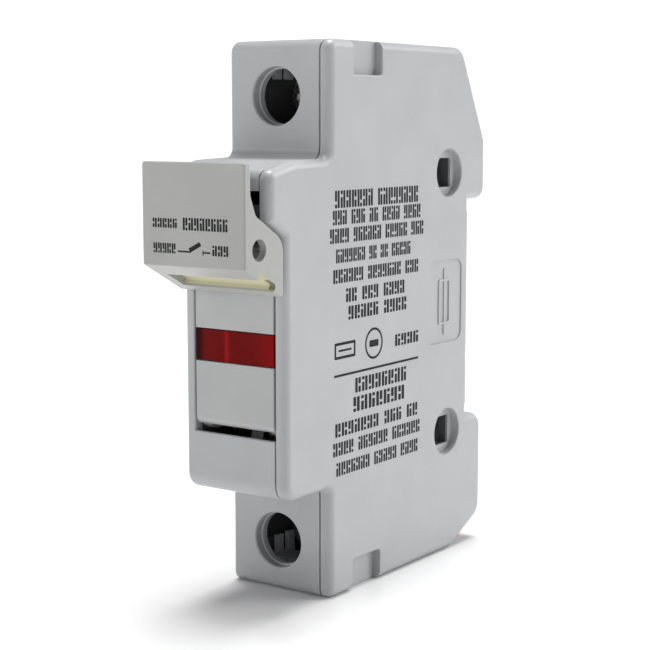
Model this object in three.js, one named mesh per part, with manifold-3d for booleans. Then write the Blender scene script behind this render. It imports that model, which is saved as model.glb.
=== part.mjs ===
// Cartridge fuse holder for one 10 x 38 mm fuse, 18 mm wide, for a 35 mm top-hat rail.
// Millimetres, +Z up. X runs across the width, -Y is the front with the lever, +Y is the rail side.
// Every piece is drawn in the housing frame: Y = 0 on the front face, Z = 0 on the lower end.
// The last lines move the whole group so that the origin is the centre of the rail seat.
import * as THREE from 'three';
import { mergeVertices } from 'three/addons/utils/BufferGeometryUtils.js';
import Module from 'manifold-3d';

const wasm = await Module();
wasm.setup();

// ---------------------------------------------------------------- driving dimensions
const HALF_WIDTH = 9;
const HEIGHT = 80.8;
const WALL = 1.6;
const PART_LEFT = 6.97;             // right edge of the left shell
const PART_RIGHT = 7.17;            // inner face of the right cover
const SHELL_INSIDE = WALL - HALF_WIDTH;

const FRONT_LOW = 16.4;             // the raised front, between two set-back shoulders
const FRONT_HIGH = 64.1;
const SHOULDER_Y = 10.6;
const FRONT_WALL = 1.5;
const BROW_Y = -3.42;               // its top stands further forward, above the cheeks of the lever
const BROW_LOW = 55.75;
const BROW_FOOT = 53.8;

const SEAT_Y = 49.8;                // rail seat and the slot that takes the rail
const SLOT_LOW = 21.25;
const SLOT_HIGH = 56.75;
const RELIEF = 0.2;                 // step beside the seat, under the hook and under the latch nose
const RELIEF_WIDTH = 1.6;
const HOOK_Y = 54.8;
const FOOT_Y = 54.5;
const SEAT_Z = (SLOT_LOW + SLOT_HIGH) / 2;

const OPENING_LOW = 25.15;          // carrier opening in the front face
const OPENING_HIGH = 60;
const CARRIER_GAP = 1;
const CARRIER_LEFT = -7.15;
const CARRIER_RIGHT = 6.85;
const CARRIER_FACE = 1.8;
const FACE_TOP = 52;
const PIVOT_Y = 3.2;
const PIVOT_Z = 27.6;
const PIN_RADIUS = 1;
const PIN_CLEARANCE = 0.13;

const WINDOW_LOW = 35.45;
const WINDOW_HIGH = 40.15;
const LENS_GAP = 0.1;

const FUSE_X = -0.2;
const FUSE_Y = 11.5;
const FUSE_LOW = 18.3;
const FUSE_LENGTH = 38;
const FUSE_HIGH = FUSE_LOW + FUSE_LENGTH;
const CAP_RADIUS = 5.15;
const CAP_LENGTH = 9.8;
const TUBE_RADIUS = 4.8;

const LEVER_FRONT = -8.9;
const LEVER_BACK = -7.6;
const LEVER_LOW = 49.75;
const LEVER_HIGH = 63.9;
const LEVER_REAR = -0.43;
const CHEEK = 1.1;

const TERMINAL_X = -0.6;
const UPPER_Z = 72.85;
const LOWER_Z = 7.5;
const ACCESS_RADIUS = 4.15;
const BAR_Y = 29.2;
const BAR_THICK = 1.2;
const CAGE_FRONT = 26.5;
const CAGE_BACK = 38;

const CLIP_Y = 43.2;                // ganging recesses near the rail
const CLIP_LOW = 19.7;
const CLIP_HIGH = 61.2;
const CLIP_RADIUS = 3.76;
const CLIP_DEPTH = 1.3;
const NOTCH_Y = [16.4, 23.8];
const NOTCH_HEIGHT = 4.7;

const LATCH_X = [-4.9, 4.7];

// ---------------------------------------------------------------- materials
function finish(color, roughness, metalness = 0) {
  return new THREE.MeshStandardMaterial({ color, roughness, metalness });
}
const HOUSING = finish(0xc4c6c9, 0.42);
const LEVER = finish(0xbfc0bd, 0.45);
const CARRIER = finish(0xc0c2c4, 0.45);
const RED_LENS = finish(0x8c0d0d, 0.15);
const RED_LATCH = finish(0xb3231f, 0.4);
const CERAMIC = finish(0xf1eee6, 0.5);
const NICKEL = finish(0xd2d3d3, 0.28, 1);
const SILVERED = finish(0xd9d6cc, 0.35, 1);
const STEEL = finish(0x9ea2a6, 0.32, 1);
const GLASS = finish(0xe9d7cf, 0.1);
const RESISTOR = finish(0x3f6f8a, 0.5);

// ---------------------------------------------------------------- drawing tools
// Points [a, b] or [a, b, radius]: a radius rounds that corner with an arc.
function outline(points, steps = 6) {
  const corners = points.map(([a, b, radius = 0]) => ({ at: new THREE.Vector2(a, b), radius }));
  const path = [];
  corners.forEach(({ at, radius }, i) => {
    if (!radius) {
      path.push(at);
      return;
    }
    const before = corners[(i + corners.length - 1) % corners.length].at.clone().sub(at).normalize();
    const after = corners[(i + 1) % corners.length].at.clone().sub(at).normalize();
    const half = Math.acos(before.dot(after)) / 2;
    const centre = before.clone().add(after).normalize().multiplyScalar(radius / Math.sin(half)).add(at);
    const start = before.multiplyScalar(radius / Math.tan(half)).add(at).sub(centre);
    const end = after.multiplyScalar(radius / Math.tan(half)).add(at).sub(centre);
    const turn = Math.atan2(start.cross(end), start.dot(end));
    for (let k = 0; k <= steps; k += 1) {
      path.push(start.clone().rotateAround(new THREE.Vector2(), (turn * k) / steps).add(centre));
    }
  });
  return path;
}

function circle(a, b, radius, sides = 28) {
  return Array.from({ length: sides }, (_, k) => {
    const angle = ((k + 0.5) * 2 * Math.PI) / sides;
    return new THREE.Vector2(a + radius * Math.cos(angle), b + radius * Math.sin(angle));
  });
}

// A bent sheet: the outline around a centre line of [a, b] points.
function strip(line, thickness) {
  const points = line.map(([a, b]) => new THREE.Vector2(a, b));
  const left = [];
  const right = [];
  points.forEach((point, i) => {
    const along = [];
    if (i > 0) along.push(point.clone().sub(points[i - 1]).normalize());
    if (i < points.length - 1) along.push(points[i + 1].clone().sub(point).normalize());
    const normals = along.map((d) => new THREE.Vector2(-d.y, d.x));
    const mitre = normals.length === 1 ? normals[0].clone() : normals[0].clone().add(normals[1]).normalize();
    mitre.multiplyScalar(thickness / 2 / mitre.dot(normals[0]));
    left.push(point.clone().add(mitre));
    right.unshift(point.clone().sub(mitre));
  });
  return [...left, ...right];
}

const X = new THREE.Vector3(1, 0, 0);
const Y = new THREE.Vector3(0, 1, 0);
const Z = new THREE.Vector3(0, 0, 1);
const AXES = {
  x: new THREE.Matrix4().makeBasis(Y, Z, X),
  y: new THREE.Matrix4().makeBasis(Z, X, Y),
  z: new THREE.Matrix4(),
};

function solid(geometry) {
  geometry.deleteAttribute('normal');
  geometry.deleteAttribute('uv');
  const merged = mergeVertices(geometry);
  return new wasm.Manifold(new wasm.Mesh({
    numProp: 3,
    vertProperties: new Float32Array(merged.attributes.position.array),
    triVerts: new Uint32Array(merged.index.array),
  }));
}

// Extrudes a drawing along an axis: along x it is drawn in (y, z), along y in (z, x), along z in (x, y).
function prism(axis, points, from, to) {
  const path = THREE.ShapeUtils.isClockWise(points) ? [...points].reverse() : points;
  const geometry = new THREE.ExtrudeGeometry(new THREE.Shape(path), { depth: to - from, bevelEnabled: false });
  geometry.translate(0, 0, from);
  geometry.applyMatrix4(AXES[axis]);
  return solid(geometry);
}

function block([x0, x1], [y0, y1], [z0, z1]) {
  const geometry = new THREE.BoxGeometry(x1 - x0, y1 - y0, z1 - z0);
  geometry.translate((x0 + x1) / 2, (y0 + y1) / 2, (z0 + z1) / 2);
  return solid(geometry);
}

// A round bar along an axis; a and b are its centre in that axis's drawing plane.
function bar(axis, a, b, radius, from, to, sides = 28) {
  return prism(axis, circle(a, b, radius, sides), from, to);
}

function join(first, ...others) {
  return others.reduce((sum, part) => sum.add(part), first);
}

function cut(first, ...others) {
  return others.reduce((rest, part) => rest.subtract(part), first);
}

const model = new THREE.Group();

function piece(name, shape, material) {
  const { vertProperties, triVerts } = shape.getMesh();
  const geometry = new THREE.BufferGeometry();
  geometry.setAttribute('position', new THREE.BufferAttribute(vertProperties, 3));
  geometry.setIndex(new THREE.BufferAttribute(triVerts, 1));
  geometry.computeVertexNormals();
  const mesh = new THREE.Mesh(geometry, material);
  mesh.name = name;
  model.add(mesh);
}

// ---------------------------------------------------------------- housing profile, in (y, z)
const PROFILE = outline([
  [SHOULDER_Y, 0, 1.2],
  [45.5, 0, 2],
  [FOOT_Y, 4.1, 3],
  [FOOT_Y, SLOT_LOW, 2.4],
  [SEAT_Y - RELIEF, SLOT_LOW],
  [SEAT_Y - RELIEF, SLOT_LOW + RELIEF_WIDTH],
  [SEAT_Y, SLOT_LOW + RELIEF_WIDTH],
  [SEAT_Y, SLOT_HIGH - RELIEF_WIDTH],
  [SEAT_Y - RELIEF, SLOT_HIGH - RELIEF_WIDTH],
  [SEAT_Y - RELIEF, SLOT_HIGH],
  [HOOK_Y, SLOT_HIGH, 1.8],
  [HOOK_Y, 66.2, 3],
  [47.4, HEIGHT, 2.6],
  [SHOULDER_Y, HEIGHT, 1.2],
  [SHOULDER_Y, FRONT_HIGH, 1.5],
  [2, FRONT_HIGH, 6],
  [BROW_Y, FRONT_HIGH - 1.35, 1.4],
  [BROW_Y, BROW_LOW, 0.5],
  [0, BROW_FOOT],
  [0, FRONT_LOW, 2.5],
  [SHOULDER_Y, FRONT_LOW, 0.8],
]);

const HOLLOW = outline([
  [FRONT_WALL, 17.7],
  [SHOULDER_Y + WALL, 17.7],
  [SHOULDER_Y + WALL, WALL],
  [45, WALL],
  [FOOT_Y - WALL, 5.2],
  [FOOT_Y - WALL, SLOT_LOW - WALL],
  [SEAT_Y - WALL, SLOT_LOW - WALL],
  [SEAT_Y - WALL, SLOT_HIGH + WALL],
  [HOOK_Y - WALL, SLOT_HIGH + WALL],
  [HOOK_Y - WALL, 66],
  [46.4, HEIGHT - WALL],
  [SHOULDER_Y + WALL, HEIGHT - WALL],
  [SHOULDER_Y + WALL, 62.6],
  [2, 62.5],
  [BROW_Y + FRONT_WALL, 61.3],
  [BROW_Y + FRONT_WALL, 58],
  [FRONT_WALL, 58],
]);

// Cut off the inner edge below the carrier opening, so that the carrier's heel can turn past it.
const LOWER_CHAMFER = outline([[0.2, OPENING_LOW + 0.1], [1.7, OPENING_LOW + 0.1], [1.7, 24]]);

const PEGS = [[43.5, 72], [35, 40], [33, 20.5]];
const RIB_END = 6.6;

// The two side faces carry the same recesses; side is -1 on the left and 1 on the right.
function sideRecesses(side) {
  const outwards = (inner) => (side > 0 ? [inner, HALF_WIDTH + 1] : [-HALF_WIDTH - 1, -inner]);
  const depth = outwards(HALF_WIDTH - CLIP_DEPTH);
  const through = outwards(5);
  const windowSize = 2.3;
  const cuts = [CLIP_LOW, CLIP_HIGH].flatMap((z) => [
    bar('x', CLIP_Y, z, CLIP_RADIUS, ...depth, 36),
    block(through, [CLIP_Y - windowSize, CLIP_Y + windowSize], [z - windowSize, z + windowSize]),
  ]);
  cuts.push(block(depth, NOTCH_Y, [-1, NOTCH_HEIGHT]));
  cuts.push(block(depth, NOTCH_Y, [HEIGHT - NOTCH_HEIGHT - 0.2, HEIGHT + 1]));
  return cuts;
}

// Pads behind the recesses keep the wall whole where the outside is cut away.
function recessPads(deep, shallow) {
  const pads = [CLIP_LOW, CLIP_HIGH].map((z) => bar('x', CLIP_Y, z, 4.8, ...deep, 36));
  pads.push(block(shallow, [15.6, 24.6], [2, 5.6]));
  pads.push(block(shallow, [15.6, 24.6], [74.8, 78.8]));
  return pads;
}

function leftShell() {
  let shell = cut(
    prism('x', PROFILE, -HALF_WIDTH, PART_LEFT),
    prism('x', HOLLOW, SHELL_INSIDE, PART_LEFT + 1),
  );
  const inside = [SHELL_INSIDE - 0.2, RIB_END];
  const ribs = [
    block(inside, [11.5, 28], [66.6, 67.8]),            // between upper terminal and fuse chamber
    block(inside, [11.5, 28], [12.9, 14.1]),            // between lower terminal and fuse chamber
    block(inside, [23.5, 24.7], [17.2, 63.4]),          // back of the fuse chamber
    block(inside, [49.1, 50.1], [10.4, 20.4]),          // guides the latch
    block(inside, [40.6, 46], [8.9, 10]),               // stops the latch at the top of its travel
    block(inside, [39.4, 40.6], [1, 10]),
    block(inside, [40.2, 41.4], [66, 80]),
    bar('z', FUSE_X, 43.4, 1.15, 1, 3.4, 20),           // pin inside the latch spring
    prism('x', outline([[51.3, 57.2], [51.3, 55.9], [52.5, 55.9], [54.2, 57.2]]), -6.6, 6.2),
    ...recessPads([SHELL_INSIDE - 0.2, -5.9], [SHELL_INSIDE - 0.2, -7]),
    ...PEGS.map(([y, z]) => bar('x', y, z, 2.5, SHELL_INSIDE - 0.2, RIB_END, 24)),
    ...[UPPER_Z, LOWER_Z].map((z) => bar('y', z, TERMINAL_X, 5.3, 11.5, 13.1, 36)),
  ];
  shell = join(shell, ...ribs);
  const openings = [
    block([SHELL_INSIDE, PART_LEFT + 1], [BROW_Y - 1, FRONT_WALL + 0.05], [OPENING_LOW, OPENING_HIGH]),
    prism('x', LOWER_CHAMFER, SHELL_INSIDE, PART_LEFT + 1),
    block([-5.2, 5], [50.9, 53], [15, 22]),             // latch nose
    block([-5.2, 5], [46.4, 53], [-1, 6]),              // latch tab
    bar('x', PIVOT_Y, PIVOT_Z, PIN_RADIUS + PIN_CLEARANCE, -8.35, SHELL_INSIDE + 0.1, 24),
    ...PEGS.map(([y, z]) => bar('x', y, z, 1.45, 2, RIB_END + 1, 20)),
    ...sideRecesses(-1),
  ];
  for (const z of [UPPER_Z, LOWER_Z]) {
    openings.push(bar('y', z, TERMINAL_X, ACCESS_RADIUS, 10, 14, 40));
    const wireEntry = outline([[-4.4, 29.6, 2.6], [3.2, 29.6, 2.6], [3.2, 37, 2.6], [-4.4, 37, 2.6]]);
    openings.push(z > SEAT_Z ? prism('z', wireEntry, 78, HEIGHT + 1) : prism('z', wireEntry, -1, 3));
  }
  return cut(shell, ...openings);
}

function rightCover() {
  const cover = join(
    prism('x', PROFILE, PART_RIGHT, HALF_WIDTH),
    ...recessPads([5.9, PART_RIGHT + 0.1], [6.75, PART_RIGHT + 0.1]),
    ...PEGS.map(([y, z]) => bar('x', y, z, 1.2, 3, PART_RIGHT + 0.1, 20)),
  );
  return cut(
    cover,
    bar('x', PIVOT_Y, PIVOT_Z, PIN_RADIUS + PIN_CLEARANCE, PART_RIGHT - 0.1, 8.2, 24),
    ...sideRecesses(1),
  );
}

piece('housing_left_shell', leftShell(), HOUSING);
piece('housing_right_cover', rightCover(), HOUSING);

// ---------------------------------------------------------------- fuse carrier and lever
const CARRIER_LOW = OPENING_LOW + CARRIER_GAP;
const SIDE_INNER = 5.35;            // half the clear width between the carrier's side walls

function fuseCarrier() {
  const wide = [CARRIER_LEFT, CARRIER_RIGHT];
  const walls = [[CARRIER_LEFT, FUSE_X - SIDE_INNER], [FUSE_X + SIDE_INNER, CARRIER_RIGHT]];
  const lowerFace = outline([
    [0, CARRIER_LOW, 1.2], [0, WINDOW_LOW], [CARRIER_FACE, WINDOW_LOW], [CARRIER_FACE, CARRIER_LOW, 0.4],
  ]);
  const sideWall = outline([
    [2.4, CARRIER_LOW, 0.5], [9.6, 29.4, 1], [9.6, 45, 1], [2.4, 46.5],
  ]);
  let carrier = join(
    prism('x', lowerFace, ...wide),
    block(wide, [0, CARRIER_FACE], [WINDOW_HIGH, FACE_TOP]),
    ...walls.map((wall) => prism('x', sideWall, ...wall)),
    ...walls.map((wall) => block(wall, [1.5, 2.6], [CARRIER_LOW + 0.2, WINDOW_LOW])),
    ...walls.map((wall) => block(wall, [1.5, 2.6], [WINDOW_HIGH, 46.4])),
    block([CARRIER_LEFT, CARRIER_RIGHT], [6, 14.8], [31, 43]),
    ...walls.map((wall) => bar('x', PIVOT_Y, PIVOT_Z, 2.4, ...wall, 32)),
    block([-5, 4.6], [1.5, 5.6], [50.8, FACE_TOP]),
    block([-5, 4.6], [4.4, 5.6], [50.8, 57.6]),
    block([-5, 4.6], [4.4, 9], [56.7, 57.6]),
  );
  carrier = cut(
    carrier,
    bar('z', FUSE_X, FUSE_Y, TUBE_RADIUS + 0.3, 30, 44, 40),
    block([FUSE_X - 3.9, FUSE_X + 3.9], [FUSE_Y, 16], [30, 44]),
    block([-5.1, 4.7], [2.4, FUSE_Y - 3], [30, 44]),
    bar('x', PIVOT_Y, PIVOT_Z, PIN_RADIUS + PIN_CLEARANCE, -8, 8, 24),
  );
  return carrier;
}

// Cheek of the lever, in (y, z): its back edge curves down to the housing face.
const CHEEK_OUTLINE = outline([
  [LEVER_FRONT, LEVER_LOW],
  [LEVER_REAR, 45.3, 0.5],
  [LEVER_REAR, 53.4, 3],
  [-6.4, 56.9, 1.6],
  [-7.5, 59.6, 1.5],
  [LEVER_BACK, LEVER_HIGH],
  [LEVER_FRONT, LEVER_HIGH],
]);

function leverHandle() {
  const floorTop = outline([
    [LEVER_FRONT, LEVER_LOW], [LEVER_REAR, 45.3], [LEVER_REAR, 51.6], [-1.6, 51.6],
    [-1.6, 49.2], [LEVER_BACK, 52.6], [LEVER_BACK, LEVER_HIGH], [LEVER_FRONT, LEVER_HIGH],
  ]);
  const groove = outline([[-6.2, 47.4], [-5.9, 49.4], [-2.2, 47.4], [-3, 45.6]]);
  return cut(
    join(
      prism('x', floorTop, -HALF_WIDTH, HALF_WIDTH),
      prism('x', CHEEK_OUTLINE, -HALF_WIDTH, CHEEK - HALF_WIDTH),
      prism('x', CHEEK_OUTLINE, HALF_WIDTH - CHEEK, HALF_WIDTH),
    ),
    bar('x', -5.85, 52.3, 1.5, -HALF_WIDTH - 1, HALF_WIDTH + 1, 28),
    prism('x', groove, -7, HALF_WIDTH + 1),
  );
}

piece('fuse_carrier', fuseCarrier(), CARRIER);
piece('lever_handle', leverHandle(), LEVER);
piece('carrier_hinge_pin', bar('x', PIVOT_Y, PIVOT_Z, PIN_RADIUS, -8.2, 8.05, 24), STEEL);

// ---------------------------------------------------------------- indicator behind the window
const LAMP_Y = 4.1;
const LAMP_Z = (WINDOW_LOW + WINDOW_HIGH) / 2;
const RESISTOR_Z = 32.6;
const LEAD_X = [-1.3, 0.9];
const LEAD_THICK = 0.35;

function lens() {
  const heights = [WINDOW_LOW + LENS_GAP, WINDOW_HIGH - LENS_GAP];
  return cut(
    block([CARRIER_LEFT, CARRIER_RIGHT], [0.05, 1.9], heights),
    block([CARRIER_LEFT + 0.8, CARRIER_RIGHT - 0.8], [1.1, 3], [heights[0] + 0.7, heights[1] - 0.7]),
  );
}

// A leaf spring, drawn in (y, z), that carries the indicator's current to a fuse cap.
function leadSpring(line) {
  return prism('x', strip(line, LEAD_THICK), ...LEAD_X);
}

piece('indicator_lens', lens(), RED_LENS);
piece('indicator_lamp', bar('x', LAMP_Y, LAMP_Z, 1.45, -3.6, 3.2, 20), GLASS);
piece('indicator_resistor', bar('x', LAMP_Y, RESISTOR_Z, 1.1, -3.4, 3, 18), RESISTOR);
piece('lamp_contact_upper', leadSpring([[3.6, 41.2], [3.6, 44.6], [5.75, 48.6], [5.3, 50.4]]), NICKEL);
piece('lamp_contact_lower', leadSpring([[4.7, 30.8], [5, 28.4], [5.72, 25.4], [5.3, 23.6]]), NICKEL);

// ---------------------------------------------------------------- the 10 x 38 fuse
const CAP_SKIN = 0.22;
const CAP_END = 0.45;
const LOWER_CAP = [FUSE_LOW, FUSE_LOW + CAP_LENGTH];
const UPPER_CAP = [FUSE_HIGH - CAP_LENGTH, FUSE_HIGH];

// A cup over one end of the tube; bore is the stretch that the tube fills.
function fuseCap(span, bore) {
  return cut(
    bar('z', FUSE_X, FUSE_Y, CAP_RADIUS, ...span, 36),
    bar('z', FUSE_X, FUSE_Y, CAP_RADIUS - CAP_SKIN, ...bore, 36),
  );
}

piece('fuse_tube', cut(
  bar('z', FUSE_X, FUSE_Y, TUBE_RADIUS, FUSE_LOW + 0.6, FUSE_HIGH - 0.6, 36),
  bar('z', FUSE_X, FUSE_Y, 2.2, FUSE_LOW, FUSE_HIGH, 20),
), CERAMIC);
piece('fuse_cap_lower', fuseCap(LOWER_CAP, [FUSE_LOW + CAP_END, FUSE_HIGH]), NICKEL);
piece('fuse_cap_upper', fuseCap(UPPER_CAP, [FUSE_LOW, FUSE_HIGH - CAP_END]), NICKEL);
piece('fuse_element', block(
  [FUSE_X - 1.2, FUSE_X + 1.2],
  [FUSE_Y - 0.1, FUSE_Y + 0.1],
  [FUSE_LOW + 0.8, FUSE_HIGH - 0.8],
), SILVERED);

// ---------------------------------------------------------------- contacts, one for each end
// bend lists the centre line of the contact in (y, z): jaw base, step back, terminal bar.
function contact(baseY, jaw, bend) {
  const leaf = (side) => {
    const x = (offset) => FUSE_X + side * offset;
    return prism('z', strip([[x(5.8), baseY], [x(5.8), 10.4], [x(6.4), 8.1]], 0.7), ...jaw);
  };
  const half = 6.15;
  return join(
    prism('x', strip(bend, BAR_THICK), TERMINAL_X - 3.6, TERMINAL_X + 3.6),
    block([FUSE_X - half, FUSE_X + half], [baseY - BAR_THICK / 2, baseY + BAR_THICK / 2], jaw),
    leaf(-1),
    leaf(1),
  );
}

// A steel clip around the jaws, in (x, y), that presses them together.
function jawSpring(baseY, [low, high]) {
  const armFront = 11;
  const reach = 6.6;
  const [left, right] = [FUSE_X - reach, FUSE_X + reach];
  const line = [[left, armFront], [left, baseY], [right, baseY], [right, armFront]];
  return prism('z', strip(line, 0.45), low, high);
}

const BAR_MID = BAR_Y + BAR_THICK / 2;
const UPPER_JAW = [47.4, 55.6];
const LOWER_JAW = [19, 27.2];
const UPPER_BASE = 18.6;
const LOWER_BASE = 20.9;

piece('upper_contact', contact(UPPER_BASE, UPPER_JAW, [
  [UPPER_BASE, 48], [UPPER_BASE, 65], [BAR_MID, 65], [BAR_MID, UPPER_Z + 3.8],
]), SILVERED);
piece('lower_contact', contact(LOWER_BASE, LOWER_JAW, [
  [LOWER_BASE, 26.6], [LOWER_BASE, 15.5], [BAR_MID, 15.5], [BAR_MID, LOWER_Z - 3.8],
]), SILVERED);
piece('upper_jaw_spring', jawSpring(UPPER_BASE + 1.2, [49, 54]), STEEL);
piece('lower_jaw_spring', jawSpring(LOWER_BASE + 1.2, [20.6, 25.6]), STEEL);

// ---------------------------------------------------------------- screw terminals
const HEAD_FRONT = 18.4;
const HEAD_BACK = 21.1;
const SCREW_TIP = 28.9;
const HEAD_RADIUS = 3.1;
const SHANK_RADIUS = 2.4;

// Cheese head with one long slot and a short one across it.
function terminalScrew(z) {
  const slot = [HEAD_FRONT - 1, HEAD_FRONT + 1.3];
  return cut(
    join(
      bar('y', z, TERMINAL_X, HEAD_RADIUS, HEAD_FRONT, HEAD_BACK, 32),
      bar('y', z, TERMINAL_X, SHANK_RADIUS, HEAD_BACK - 0.5, SCREW_TIP),
    ),
    block([TERMINAL_X - 0.55, TERMINAL_X + 0.55], slot, [z - 4, z + 4]),
    block([TERMINAL_X - 1.9, TERMINAL_X + 1.9], slot, [z - 0.5, z + 0.5]),
  );
}

// A box open at the top and bottom: the wire and the terminal bar pass through it.
function terminalCage(z) {
  const half = 5.2;
  const height = 4;
  const inner = half - 1;
  return cut(
    block([TERMINAL_X - half, TERMINAL_X + half], [CAGE_FRONT, CAGE_BACK], [z - height, z + height]),
    block([TERMINAL_X - inner, TERMINAL_X + inner], [CAGE_FRONT + 2, CAGE_BACK - 1.2], [z - 5, z + 5]),
    bar('y', z, TERMINAL_X, SHANK_RADIUS + 0.2, CAGE_FRONT - 1, CAGE_FRONT + 3),
  );
}

// A forked plate on the left wall that keeps the screw from falling out. out is the way the wire leaves.
function screwKeeper(z, out, reach) {
  const at = (e) => z + out * e;
  const level = (a, b) => [Math.min(at(a), at(b)), Math.max(at(a), at(b))];
  const plate = [-6.85, -6.05];
  const flange = [-6.2, 4.6];
  return join(
    block(plate, [17.8, 22.4], level(4.4, 5.9)),
    block(plate, [17.8, 19.4], level(reach, 4.5)),
    block(plate, [20.6, 22.2], level(reach, 4.5)),
    block(flange, [17.8, 22.4], level(5.1, 5.9)),
  );
}

for (const [end, z, out, reach] of [['upper', UPPER_Z, 1, 2.6], ['lower', LOWER_Z, -1, 1.8]]) {
  piece(`${end}_terminal_screw`, terminalScrew(z), NICKEL);
  piece(`${end}_terminal_cage`, terminalCage(z), NICKEL);
  piece(`${end}_screw_keeper`, screwKeeper(z, out, reach), NICKEL);
}

// ---------------------------------------------------------------- latch for the rail
function railLatch() {
  const body = outline([
    [50.4, 7.2], [50.4, 18.4], [51.2, 19.2], [51.2, 22.7, 0.3], [51.9, 22.7, 0.3], [52.6, 21.4],
    [52.6, 0.6, 0.8], [47, 0.6, 0.6], [47, 3.6], [50.4, 3.6],
  ]);
  return cut(
    join(
      prism('x', body, ...LATCH_X),
      block([-3.2, 2.8], [41.6, 51], [7.2, 8.6]),
    ),
    block([-2.2, 1.8], [48.4, 50.2], [-1, 5]),
  );
}

class Helix extends THREE.Curve {
  constructor(x, y, low, high, radius, turns) {
    super();
    Object.assign(this, { x, y, low, high, radius, turns });
  }

  getPoint(t, target = new THREE.Vector3()) {
    const angle = 2 * Math.PI * this.turns * t;
    return target.set(
      this.x + this.radius * Math.cos(angle),
      this.y + this.radius * Math.sin(angle),
      this.low + (this.high - this.low) * t,
    );
  }
}

function coilSpring(x, y, low, high, radius, wire, turns) {
  const section = new THREE.Shape(circle(0, 0, wire / 2, 8));
  const path = new Helix(x, y, low + wire / 2, high - wire / 2, radius, turns);
  const sweep = { steps: turns * 14, extrudePath: path, bevelEnabled: false };
  return solid(new THREE.ExtrudeGeometry(section, sweep));
}

const SPRING_LOW = WALL + 0.15;
const SPRING_HIGH = 7.05;

piece('rail_latch', railLatch(), RED_LATCH);
piece('latch_spring', coilSpring(FUSE_X, 43.4, SPRING_LOW, SPRING_HIGH, 1.65, 0.5, 4), STEEL);

// The origin is the centre of the rail seat.
model.position.set(0, -SEAT_Y, -SEAT_Z);

export default model;
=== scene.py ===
# Looks of the cartridge fuse holder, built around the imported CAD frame.
# Pieces are drawn in millimetres in the housing frame, as the CAD is: X across the width, Y = 0 on the
# front face and growing towards the rail, Z = 0 on the lower end. settle() moves them into the row frame.
import math

import bmesh
import bpy
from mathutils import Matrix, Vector, noise


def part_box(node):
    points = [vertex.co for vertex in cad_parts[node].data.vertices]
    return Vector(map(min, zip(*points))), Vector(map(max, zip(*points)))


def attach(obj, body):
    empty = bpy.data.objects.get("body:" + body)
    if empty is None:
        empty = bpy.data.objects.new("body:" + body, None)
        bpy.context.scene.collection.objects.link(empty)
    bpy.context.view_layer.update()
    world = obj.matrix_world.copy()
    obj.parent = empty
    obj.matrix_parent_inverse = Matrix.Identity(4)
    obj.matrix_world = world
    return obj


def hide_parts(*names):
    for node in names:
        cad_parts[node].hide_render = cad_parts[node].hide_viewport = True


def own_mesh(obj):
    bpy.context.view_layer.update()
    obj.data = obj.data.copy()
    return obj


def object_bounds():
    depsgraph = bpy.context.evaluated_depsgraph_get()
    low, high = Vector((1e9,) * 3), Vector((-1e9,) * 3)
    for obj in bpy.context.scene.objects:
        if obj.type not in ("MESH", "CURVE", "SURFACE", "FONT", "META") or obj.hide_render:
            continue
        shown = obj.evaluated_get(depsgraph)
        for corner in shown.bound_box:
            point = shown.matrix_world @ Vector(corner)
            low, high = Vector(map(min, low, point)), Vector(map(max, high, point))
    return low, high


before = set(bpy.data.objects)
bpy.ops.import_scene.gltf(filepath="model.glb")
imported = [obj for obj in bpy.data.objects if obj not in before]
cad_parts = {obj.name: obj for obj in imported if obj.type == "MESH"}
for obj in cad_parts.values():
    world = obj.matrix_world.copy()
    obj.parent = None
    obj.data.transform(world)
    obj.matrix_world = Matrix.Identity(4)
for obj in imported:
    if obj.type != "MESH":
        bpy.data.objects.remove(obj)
CAD_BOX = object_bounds()

# ---- sizes, from the frame where it has them
MM = 0.001
SEAT_Y = 49.8  # the floor of the rail slot, where the row frame has Y = 0
ORIGIN = Vector((0.0, -SEAT_Y * MM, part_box("housing_left_shell")[0].z))


def span(node, axis):
    """The lowest and highest coordinate of a CAD node along one axis, in the housing frame."""
    low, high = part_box(node)
    i = "xyz".index(axis)
    return (low[i] - ORIGIN[i]) / MM, (high[i] - ORIGIN[i]) / MM


HALF_WIDTH = span("housing_right_cover", "x")[1]
HEIGHT = span("housing_left_shell", "z")[1]
PART_LEFT = span("housing_left_shell", "x")[1]
PART_RIGHT = PART_LEFT + 0.2
WALL = 1.6
SHELL_INSIDE = WALL - HALF_WIDTH
INK = 0.02  # height of the printing above the plastic

FRONT_LOW = 16.4
FRONT_HIGH = 64.1
SHOULDER_Y = 10.6  # faces of the two terminal blocks
FRONT_WALL = 1.5
BROW_Y = -3.42  # the raised upper end of the front, behind the lever
BROW_LOW = 55.75
BROW_FOOT = 53.8
SLOT_LOW = 21.25  # the slot that takes the rail
SLOT_HIGH = 56.75
RELIEF = 0.2  # shallow steps at both ends of the slot's floor
RELIEF_WIDTH = 1.6
HOOK_Y = span("housing_left_shell", "y")[1]
FOOT_Y = 54.5

OPENING_LOW = 25.15  # the carrier's opening in the front
OPENING_HIGH = 60.0
CARRIER_X = span("fuse_carrier", "x")
CARRIER_LOW = OPENING_LOW + 1.0
CARRIER_FACE = 1.8
FACE_TOP = 52.0
PIVOT_Y = 3.2
PIVOT_Z = 27.6
PIN_RADIUS = 1.0
PIN_BORE = PIN_RADIUS + 0.13
WINDOW_LOW = 35.45
WINDOW_HIGH = 40.15

FUSE_X = -0.2
FUSE_Y = 11.5
FUSE_LOW = span("fuse_cap_lower", "z")[0]
FUSE_HIGH = span("fuse_cap_upper", "z")[1]
CAP_LENGTH = 9.8
CAP_RADIUS = 5.15
TUBE_RADIUS = 4.8

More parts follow.
